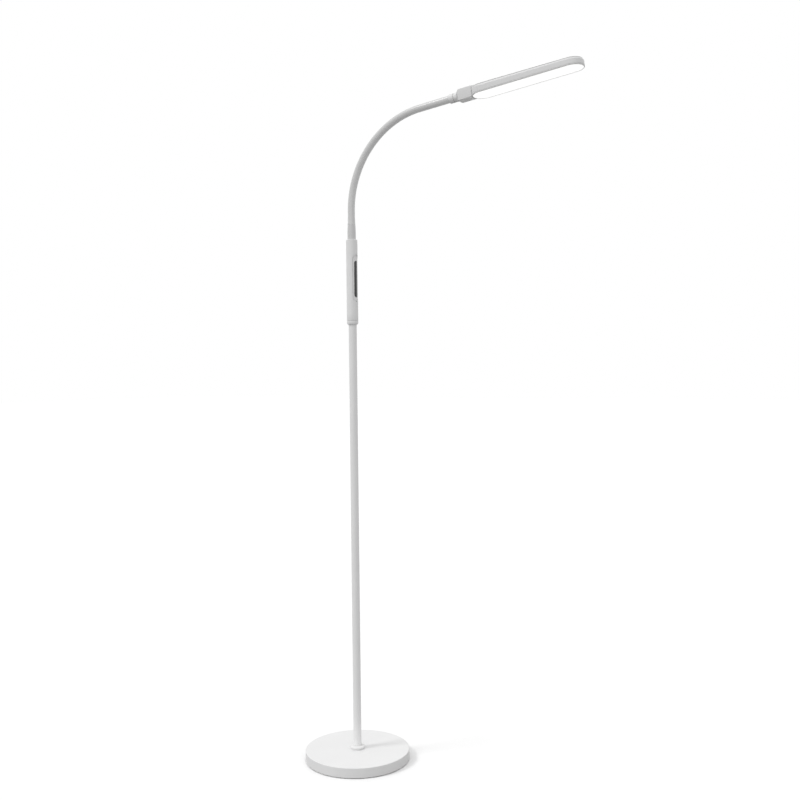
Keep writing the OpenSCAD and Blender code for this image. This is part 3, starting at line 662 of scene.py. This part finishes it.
def module_foot_profile():
    """The foot's blunt end, its slope up to the module's width, and the spigot and the bore inside it."""
    bore_r, blunt_r, seam_r = POLE_R + 0.1, 12.4, MODULE_R - 2.0
    spigot_r, hollow_r, hole_r = 10.8, 9.3, 5.1
    end_z, socket_z, slope_z = MODULE_Z + 4.0, MODULE_Z + 6.0, MODULE_Z + 7.6
    seam_z, body_z, spigot_z = MODULE_Z + 12.3, MODULE_Z + 13.0, MODULE_Z + 21.0
    outline = [(bore_r, end_z), (blunt_r, end_z), (MODULE_R, slope_z), (MODULE_R, seam_z), (seam_r, seam_z),
               (seam_r, body_z), (spigot_r, body_z), (spigot_r, spigot_z), (hollow_r, spigot_z),
               (hollow_r, body_z), (hole_r, body_z), (hole_r, socket_z), (bore_r, socket_z)]
    return fillet(outline, [0, 0.8, 3.0, 0.2] + [0] * 9, closed=True)


def on_tube(y, r, tube_r):
    """X and Y of a point y across a flat plan that is wrapped around the module, at radius r."""
    a = math.asin(max(-1.0, min(1.0, y / tube_r)))
    return r * math.cos(a), r * math.sin(a)


def recess_cutter():
    """The recess: a soft lip, a wall, and a floor with a narrow gap round it that is wider at the foot."""
    gap, foot_gap, through_r, clear_r = 0.4, 1.0, 10.4, MODULE_R + 1.0
    floor_depth, floor_slope, steps = 2.0, 0.2, 14
    low, high = RECESS_MID - RECESS_L / 2, RECESS_MID + RECESS_L / 2
    inwards = [(RECESS_W / 2 - gap - 0.01) * k / steps for k in range(steps + 1)]
    lip = [(w, clear_r) for w in reversed(inwards)]
    lip += [(-0.6, clear_r), (-0.25, MODULE_R + 0.02), (-0.12, MODULE_R - 0.08), (-0.03, MODULE_R - 0.2),
            (0.0, MODULE_R - 0.35), (0.0, through_r)]

    def ring(inset, shorter, radius):
        plan = stadium(RECESS_L - shorter - 2 * inset, RECESS_W - 2 * inset, 32, 60)
        start = low + shorter + inset
        return [(*on_tube(y, radius(start + x), MODULE_R), start + x) for x, y in plan]

    def floor_r(x):
        return MODULE_R - floor_depth + floor_slope * (x - low) / (high - low)

    rings = [ring(inset, 0.0, lambda x, r=r: r) for inset, r in lip]
    rings.append(ring(gap, foot_gap, lambda x: through_r))
    rings += [ring(gap + w, foot_gap, floor_r) for w in inwards]
    return loft("recess", rings, sharp=40)


def module_shell():
    """The module's body, a tube with the recess cut into it."""
    bore_r, bevel_h, steps = 10.9, 0.3, 12
    height = BODY_TOP - BODY_Z - bevel_h
    wall = [(MODULE_R - 0.25, BODY_Z), (MODULE_R - 0.07, BODY_Z + 0.08)]
    wall += [(MODULE_R, BODY_Z + bevel_h + height * k / steps) for k in range(steps + 1)]
    wall += [(bore_r, BODY_TOP), (bore_r, BODY_Z)]
    shell = revolve("module_housing", wall, closed=True, segs=240)
    return combine(shell, [recess_cutter()], "DIFFERENCE", 25)


def module_cap_profile():
    """The cap's rounded plate and the collar below it that sits in the body."""
    hole_r, collar_r, bevel, collar_l = 6.8, 10.8, 1.3, 6.0
    seat_z = BODY_TOP + 0.05
    outline = [(hole_r, MODULE_TOP), (MODULE_R, MODULE_TOP), (MODULE_R, seat_z), (collar_r, seat_z),
               (collar_r, BODY_TOP - collar_l), (hole_r, BODY_TOP - collar_l)]
    return fillet(outline, [0, bevel, 0, 0, 0, 0], closed=True)


def touch_lens():
    """A thin round-ended lens bent around the module, with a soft edge."""
    outer_r, edge, steps = 12.1, 0.3, 12
    levels = [(0.0, -0.9), (0.0, -0.25), (0.05, -0.12), (0.15, -0.04), (edge, 0.0)]
    levels += [(edge + (PANEL_W / 2 - edge - 0.01) * k / steps, 0.0) for k in range(1, steps + 1)]

    def bend(x, y, h):
        return (*on_tube(y, outer_r + h, outer_r), PANEL_MID - PANEL_L / 2 + x)

    return loft("touch_lens", stadium_rings(PANEL_L, PANEL_W, levels, 24, 24), warp=bend, sharp=40)


place(revolve("module_foot", module_foot_profile(), closed=True), mat_module, "stand", "module_plastic",
      "module_foot")
place(module_shell(), mat_module, "stand", "module_plastic", "module_body")
place(revolve("module_cap", module_cap_profile(), closed=True), mat_module, "stand", "module_plastic",
      "module_cap")
place(touch_lens(), mat_panel, "stand", "panel_black", "touch_panel")


# ---------------------------------------------------------------- gooseneck

def ferrule_profile():
    """The ferrule narrows in a long curve towards the sleeve."""
    hole_r, foot_r, waist_r, lip_r, waist_l, hole_l = 6.8, 10.0, 9.95, 8.0, 16.0, 4.0
    seat_z = MODULE_TOP + 0.02
    outline = [(hole_r, seat_z), (foot_r, seat_z), (waist_r, FERRULE_TOP - waist_l),
               (NECK_R + FLARE, FERRULE_TOP), (lip_r, FERRULE_TOP), (hole_r, FERRULE_TOP - hole_l)]
    return fillet(outline, [0, 0.3, 30.0, 0.2, 0, 0], 10, closed=True)


place(revolve("neck_ferrule", ferrule_profile(), closed=True), mat_ferrule, "stand", "white_paint",
      "neck_ferrule")

# Each part of the sleeve and the lead goes from the middle of one body to the middle of the next.
ARC = BEND_L / BENDS
SLEEVE_START = FERRULE_TOP - BEND_Z
MIDS = [SLEEVE_START + 0.2, (HINGE_1_Z - BEND_Z) / 2] + [ARC * (i + 0.5) for i in range(BENDS)]
MIDS.append(BEND_L + NECK_RUN + 1.0)

for k in range(LINKS):
    s0, s1 = MIDS[k], MIDS[k + 1]
    piece = tube(f"sleeve_part_{k + 1}", s0, s1, NECK_R, SLEEVE_BORE_R, FLARE if k == 0 else 0.0)
    place(piece, mat_sleeve, None, "neck_rubber", f"sleeve_{k + 1}")
    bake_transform(piece)

LEAD_MIDS = [LEAD_START_Z - BEND_Z] + MIDS[1:LINKS] + [BEND_L + LEAD_LINK_RUN, BEND_L + LEAD_END_RUN]

for k in range(LINKS + 1):
    s0, s1 = LEAD_MIDS[k], LEAD_MIDS[k + 1]
    piece = rod(f"lead_part_{k + 1}", s0, s1, LEAD_R)
    place(piece, mat_lead, None, "lead_rubber", *(["neck_lead"] if k == 0 else []))
    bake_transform(piece)


# ---------------------------------------------------------------- swivel

def end_ferrule_profile():
    """The ring at the gooseneck's end, with the sleeve's seat and the conduit's inside it."""
    seat_r, conduit_r, hole_r, seat_l, conduit_l = 8.6, 6.8, 5.2, 5.8, 8.2
    outline = [(seat_r, 0.0), (RING_R, 0.0), (RING_R, FERRULE_RING_L), (hole_r, FERRULE_RING_L),
               (hole_r, conduit_l), (conduit_r, conduit_l), (conduit_r, seat_l), (seat_r, seat_l)]
    return fillet(outline, [0, RING_BEVEL, RING_BEVEL, 0, 0, 0, 0, 0], 6, closed=True)


def swivel_collar_profile():
    """The ring that turns with the head, and the narrow neck between it and the block."""
    hole_r, end = 5.05, COLLAR_RING_L + COLLAR_NECK_L
    outline = [(hole_r, 0.0), (RING_R, 0.0), (RING_R, COLLAR_RING_L), (COLLAR_NECK_R, COLLAR_RING_L),
               (COLLAR_NECK_R, end), (hole_r, end)]
    return fillet(outline, [0, RING_BEVEL, RING_BEVEL, 0, 0, 0], 6, closed=True)


place(revolve("end_ferrule_ring", end_ferrule_profile(), along_head(NECK_RUN), closed=True), mat_pole,
      "link_8", "white_paint", "end_ferrule")
place(revolve("swivel_collar_ring", swivel_collar_profile(), along_head(COLLAR_U), closed=True), mat_pole,
      "head", "white_paint", "swivel_collar")


# ---------------------------------------------------------------- head

def head_levels():
    """The head's outside from its lower edge up: wall, bevel, a fine gap, and the edge of the top panel."""
    gap_z, panel_z = TOP - 1.45, TOP - 0.6
    wall = [(0.25, SEAM), (0.07, SEAM + 0.07), (0.0, SEAM + 0.25), (0.0, SEAM + 0.7), (0.3, TOP - 6.0),
            (0.32, TOP - 5.6), (0.42, TOP - 5.25), (0.6, TOP - 4.9)]
    bevel = [(2.75, TOP - 1.5), (2.9, gap_z), (4.6, gap_z), (4.6, panel_z)]
    panel = [(3.0, panel_z), (3.0, TOP - 0.35), (3.05, TOP - 0.15), (3.15, TOP - 0.05), (3.3, TOP),
             (4.4, TOP)]
    return wall + bevel + panel


def thinner(x, y, z):
    """The head gets a little thinner towards its tip, above the seam."""
    start, share = 45.0, 0.155
    along = min(1.0, max(0.0, (x - start) / (HEAD_L - start)))
    return (x, y, SEAM + (z - SEAM) * (1 - share * along)) if z > SEAM else (x, y, z)


def rounded_section(y0, y1, z0, z1, r, steps=5):
    """A rectangle with rounded corners, across the head."""
    points = []
    centres = [(y1 - r, z1 - r), (y0 + r, z1 - r), (y0 + r, z0 + r), (y1 - r, z0 + r)]
    for quarter, (y, z) in enumerate(centres):
        for k in range(steps + 1):
            a = math.pi / 2 * (quarter + k / steps)
            points.append((y + r * math.cos(a), z + r * math.sin(a)))
    return points


def neck_block(inset=0.0):
    """The block between the swivel and the head, and its slope over the head's end, all smaller by inset."""
    near_r, far_r, low_r, top_r, edge = 1.8, 5.0, 1.4, 6.0, 1.0
    top_pull, steps = 1.8, 14
    slope_start, slope_end, slope_r, slope_low = BLOCK_L + 3, BLOCK_L + 30, 22, TOP - 0.7
    rise_start, rise = BLOCK_L + 8, 0.5
    tops = fillet([(0, BLOCK_TOP), (slope_start, BLOCK_TOP), (slope_end, slope_low)], [0, slope_r, 0], 12)
    side = BLOCK_W / 2 - inset

    def corner(u, r):
        """How far a rounding of radius r at the block's end draws a face in."""
        d = r - (u - inset)
        return r - math.sqrt(r * r - d * d) if d > 0 else 0.0

    starts = [inset + top_r * (1 - math.cos(math.pi / 2 * k / steps)) for k in range(steps + 1)]
    rings = []
    for u in starts + [12.0, 22.0] + [u for u, z in tops[1:]]:
        high = np.interp(u, [t[0] for t in tops], [t[1] for t in tops]) - inset
        low = LOW + inset + max(0.0, u - rise_start) * rise
        outline = rounded_section(-side + corner(u, near_r), side - corner(u, far_r), low + corner(u, low_r),
                                  high - top_pull * corner(u, top_r), edge)
        rings.append([(u, y, z) for y, z in outline])
    return loft("block", rings, BLOCK_PLACE)


def seams():
    """Two fine grooves around the block: one behind its end face, one where it meets the head's round end."""
    end_depth, joint_depth = 0.7, 1.3
    joint_low, joint_high = -1.2, 0.05
    half = BLOCK_W / 2 + 1
    end = box("end seam", (1.5, -BLOCK_W, LOW - 5), (2.2, BLOCK_W, BLOCK_TOP + 5), BLOCK_PLACE)
    combine(end, [neck_block(end_depth)], "DIFFERENCE")
    joint = head_loft("joint seam", [(joint_low, LOW - 5), (joint_low, BLOCK_TOP + 5),
                                     (joint_high, BLOCK_TOP + 5), (joint_high, LOW - 5)], closed=True)
    around = box("around", (-5, -half, LOW - 6), (20, half, BLOCK_TOP + 6), HEAD_PLACE)
    combine(joint, [around], "INTERSECT")
    combine(joint, [neck_block(joint_depth)], "DIFFERENCE")
    return [end, joint]


def head_housing():
    """The housing with its block, seams and cavity, and the way of the lead through the block."""
    wall, frame_gap = 1.8, -0.12
    shell = head_loft("head_housing", head_levels(), warp=thinner)
    combine(shell, [neck_block()], "UNION")
    combine(shell, seams(), "DIFFERENCE")
    cavity = head_loft("cavity", [(wall, SEAM - 1), (wall, 3.0), (4.6, CEILING)], warp=thinner)
    below = head_loft("below", [(frame_gap, LOW - 2), (frame_gap, SEAM)])
    inside = box("inside", (2.4, -10.5, LOW - 1), (31, 10.5, 10.5), BLOCK_PLACE)
    way = box("way", (2.6, -10.4, LOW - 1.5), (BLOCK_L + 8, 10.4, CEILING - 0.2), BLOCK_PLACE)
    hole = revolve("hole", [(0, -2), (5.3, -2), (5.3, 4), (0, 4)], along_head(BLOCK_U), segs=48)
    return combine(shell, [cavity, below, inside, way, hole], "DIFFERENCE", 28)


def cover_plate():
    """The plate that closes the block from below, cut round where the head starts, with two screw holes."""
    near, far, half, thick, frame_gap = 2.1, BLOCK_L + 9, 10.4, 1.8, -0.12
    head_r, hole_r, sink_depth = 2.15, 1.1, 1.0
    screw_x, screw_y = BLOCK_U + BLOCK_L - 5, 6.8
    plan = fillet([(near, -half), (far, -half), (far, half), (near, half)], [1.5, 0, 0, 4.5], closed=True)
    plate = loft("neck_cover_plate", [[(x, y, z) for x, y in plan] for z in (LOW, LOW + thick)], BLOCK_PLACE)
    cut = head_loft("cut", [(frame_gap, LOW - 2), (frame_gap, SEAM + 2)])
    sink = [(0, -1), (head_r, -1), (head_r, sink_depth), (hole_r, sink_depth), (hole_r, 3), (0, 3)]
    sinks = [revolve("sink", sink, HEAD @ Matrix.Translation((screw_x, side * screw_y, LOW)), segs=48)
             for side in (-1, 1)]
    return combine(plate, [cut] + sinks, "DIFFERENCE")


def frame_levels():
    """The frame's section: a step into the housing, the outer wall, the lower edge, and the lens's seat."""
    inner, step, rim = 3.2, 1.95, 1.96
    step_z, seat_z = SEAM + 3.0, SEAM - 0.6
    step_part = [(inner, SEAM - 0.2), (inner, step_z), (step, step_z), (step, SEAM - 0.25)]
    wall = [(0.3, SEAM - 0.25), (0.05, SEAM - 0.45), (0.0, SEAM - 0.7), (0.0, LOW + 0.9)]
    lower_edge = [(0.12, LOW + 0.45), (0.4, LOW + 0.12), (0.7, LOW), (1.8, LOW), (1.92, LOW + 0.08)]
    return step_part + wall + lower_edge + [(rim, LOW + 0.25), (rim, seat_z), (inner, seat_z)]


def lens_levels():
    """The lens sits 0.1 mm inside the frame, with a soft edge."""
    edge = 2.06
    return [(edge, SEAM - 0.7), (edge, LOW + 0.3), (edge + 0.1, LOW + 0.2), (2.7, LOW + 0.2)]


place(head_housing(), mat_head, "head", "white_paint", "head_top")
# The cover plate's darker plastic is partly painted shade under the block.
place(cover_plate(), mat_painted_shade_trim, "head", "head_plastic", "neck_cover")
place(head_loft("head_bezel", frame_levels(), closed=True, sharp=50), mat_painted_shade_trim, "head", "head_plastic",
      "head_frame")
place(head_loft("opal_lens", lens_levels()), mat_opal, "head", "opal", "diffuser")

# ---------------------------------------------------------------- stage and light

PHOTO_SIDE = math.radians(55)
FLOOR_BOUNCE = 0.30
FLOOR_HALF = 30000
FLOOR_Z = -0.05
SKY_LIGHT = 0.81


def part(x, y, z):
    """A direction or place seen from the camera's side (x right, y away, z up) in the part's frame."""
    s, c = math.sin(PHOTO_SIDE), math.cos(PHOTO_SIDE)
    return Vector((x * s - y * c, x * c + y * s, z))


def seen_directly(tree):
    """1 for what the camera, a reflection or a view through glass meets, and 0 for the light on things."""
    paths = tree.nodes.new("ShaderNodeLightPath")
    total = paths.outputs["Is Camera Ray"]
    for ray in ("Is Glossy Ray", "Is Transmission Ray"):
        add = tree.nodes.new("ShaderNodeMath")
        add.operation = "MAXIMUM"
        tree.links.new(total, add.inputs[0])
        tree.links.new(paths.outputs[ray], add.inputs[1])
        total = add.outputs[0]
    return total


def floor_material():
    """Near white where it is seen, and darker for the light that it throws back at the lamp."""
    s = Shader("studio floor")
    seen = s.two_tone(s.noise(6.0, detail=4.0), grey(0.985), grey(1.0))
    s.set(color=s.mix(seen_directly(s.tree), grey(FLOOR_BOUNCE), seen), rough=0.9, spec=0.0)
    return s.mat


def studio_world():
    """Even white light all round, and a white backdrop behind it."""
    world = bpy.data.worlds.new("studio")
    bpy.context.scene.world = world
    world.use_nodes = True
    tree = world.node_tree
    tree.nodes.clear()
    out = tree.nodes.new("ShaderNodeOutputWorld")
    mix = tree.nodes.new("ShaderNodeMixShader")
    tree.links.new(seen_directly(tree), mix.inputs[0])
    for slot, strength in ((1, SKY_LIGHT), (2, 1.0)):
        light = tree.nodes.new("ShaderNodeBackground")
        light.inputs["Color"].default_value = (1, 1, 1, 1)
        light.inputs["Strength"].default_value = strength
        tree.links.new(light.outputs[0], mix.inputs[slot])
    tree.links.new(mix.outputs[0], out.inputs["Surface"])


def sun(name, left, above, strength, spread):
    """A far, soft light, placed by its angles to the left of the camera's side and above the floor."""
    light = bpy.data.lights.new(name, "SUN")
    light.energy = strength
    light.angle = math.radians(spread)
    left, above = math.radians(left), math.radians(above)
    towards = part(-math.sin(left) * math.cos(above), -math.cos(left) * math.cos(above), math.sin(above))
    obj = bpy.data.objects.new(name, light)
    obj.rotation_mode = "QUATERNION"
    obj.rotation_quaternion = towards.to_track_quat("Z", "Y")
    obj.location = towards
    bpy.context.scene.collection.objects.link(obj)


corners = [(-1, -1), (1, -1), (1, 1), (-1, 1)]
floor = make("floor", [(x * FLOOR_HALF, y * FLOOR_HALF, FLOOR_Z) for x, y in corners], [(0, 1, 2, 3)])
dress(floor, floor_material())
studio_world()
sun("key", left=73, above=48, strength=0.85, spread=15)
sun("fill", left=10, above=26, strength=0.28, spread=60)

# ---------------------------------------------------------------- camera

# Angles in degrees and places in metres, as solved from the photograph
CAMERA_YAW = 2.66
CAMERA_PITCH = 1.4925
CAMERA_ROLL = -0.60
CAMERA_AWAY = 2.39672
CAMERA_Z = 0.92753
CAMERA_LENS = 45.0
CAMERA_SENSOR = 36.0


def photo_camera():
    """The camera at the photograph's angle."""
    yaw, pitch, roll = (math.radians(a) for a in (CAMERA_YAW, CAMERA_PITCH, CAMERA_ROLL))
    ahead = Vector((math.sin(yaw) * math.cos(pitch), math.cos(yaw) * math.cos(pitch), -math.sin(pitch)))
    level = Vector((math.cos(yaw), -math.sin(yaw), 0))
    upright = level.cross(ahead)
    right = math.cos(roll) * level + math.sin(roll) * upright
    up = -math.sin(roll) * level + math.cos(roll) * upright
    axes = [part(*right), part(*up), part(*-ahead)]
    turn = Matrix([[a[i] for a in axes] for i in range(3)]).to_4x4()
    camera = bpy.data.cameras.new("camera")
    camera.lens = CAMERA_LENS
    camera.sensor_width = CAMERA_SENSOR
    camera.clip_end = 200.0
    eye = bpy.data.objects.new("camera", camera)
    eye.matrix_world = Matrix.Translation(part(0, -CAMERA_AWAY, CAMERA_Z)) @ turn
    bpy.context.scene.collection.objects.link(eye)
    bpy.context.scene.camera = eye


photo_camera()
bpy.context.scene.view_settings.view_transform = "Standard"
